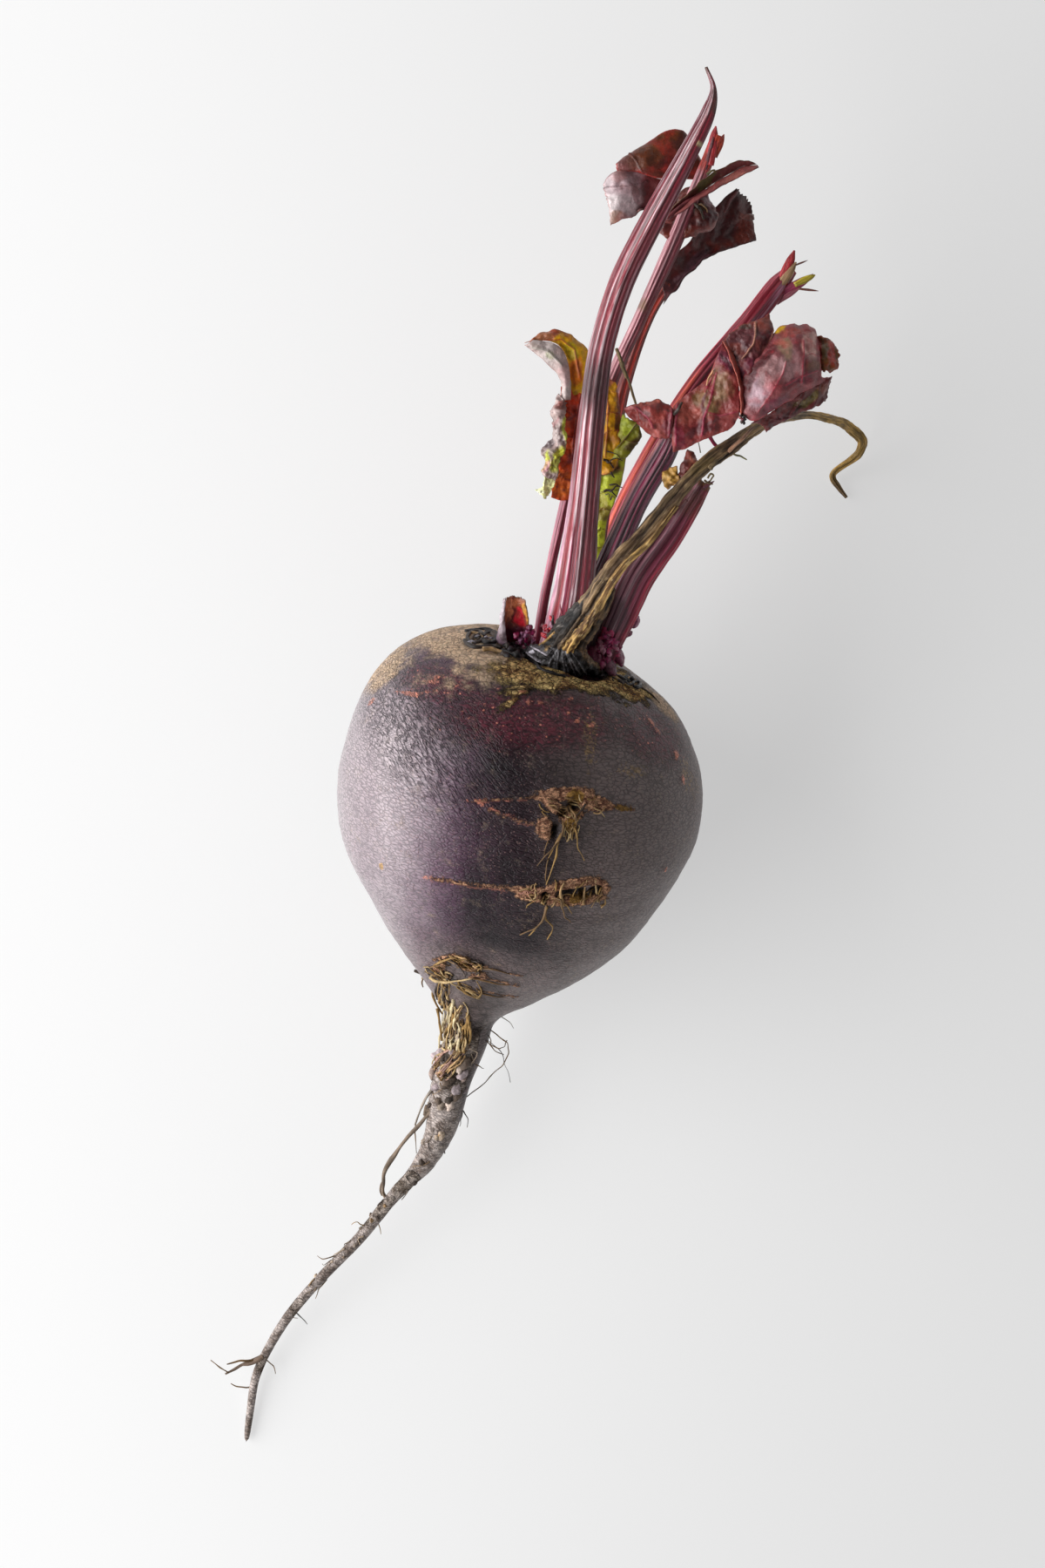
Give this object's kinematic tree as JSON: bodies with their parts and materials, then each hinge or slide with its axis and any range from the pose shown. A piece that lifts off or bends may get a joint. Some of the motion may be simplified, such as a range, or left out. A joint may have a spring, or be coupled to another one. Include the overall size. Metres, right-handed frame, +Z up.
{
  "type": "beetroot",
  "caption": "Whole raw beetroot lying on its side: a round purple root with a long tap root and a trimmed bunch of red leaf stalks with torn leaf remnants.",
  "frame": {"origin": "a point in the small flat spot under the globe that the beetroot rests on, close below its centre of mass", "axes": "+Z up from the surface it lies on; +Y from the tap root's tip towards the crown and the leaf stalks; +X to the right of it, seen from above"},
  "size_m": [0.1605, 0.3316, 0.0922],
  "materials": {
    "root_skin": "satin, finely wrinkled skin",
    "fresh_stalk": "satin, ribbed",
    "red_stalk": "satin, ribbed",
    "dried_stem": "matt, dry",
    "brown_leaf": "satin, crinkled",
    "yellow_leaf": "satin, crinkled",
    "red_leaf": "satin, crinkled",
    "dry_base": "matt, dry",
    "rootlet": "matt, dry"
  },
  "bodies": {
    "root": {"beet_root": "root_skin", "stalk_long": "fresh_stalk", "stalk_rear_pink": "fresh_stalk", "stalk_rear_red": "red_stalk", "stalk_yellow_leaf": "fresh_stalk", "stalk_wrinkled_leaf": "fresh_stalk", "stalk_torn": "red_stalk", "stalk_short": "fresh_stalk", "stalk_dried": "dried_stem", "stalk_stub": "fresh_stalk", "leaf_top_left": "brown_leaf", "leaf_top_strip": "brown_leaf", "leaf_top_right": "brown_leaf", "leaf_yellow": "yellow_leaf", "leaf_wrinkled": "red_leaf", "old_base_left": "dry_base", "old_base_front": "dry_base", "old_base_right": "dry_base", "dried_thread": "dried_stem", "upper_scar_rootlet": "rootlet", "lower_scar_rootlet": "rootlet", "side_root": "rootlet", "tail_rootlet": "rootlet"}
  },
  "joints": []
}
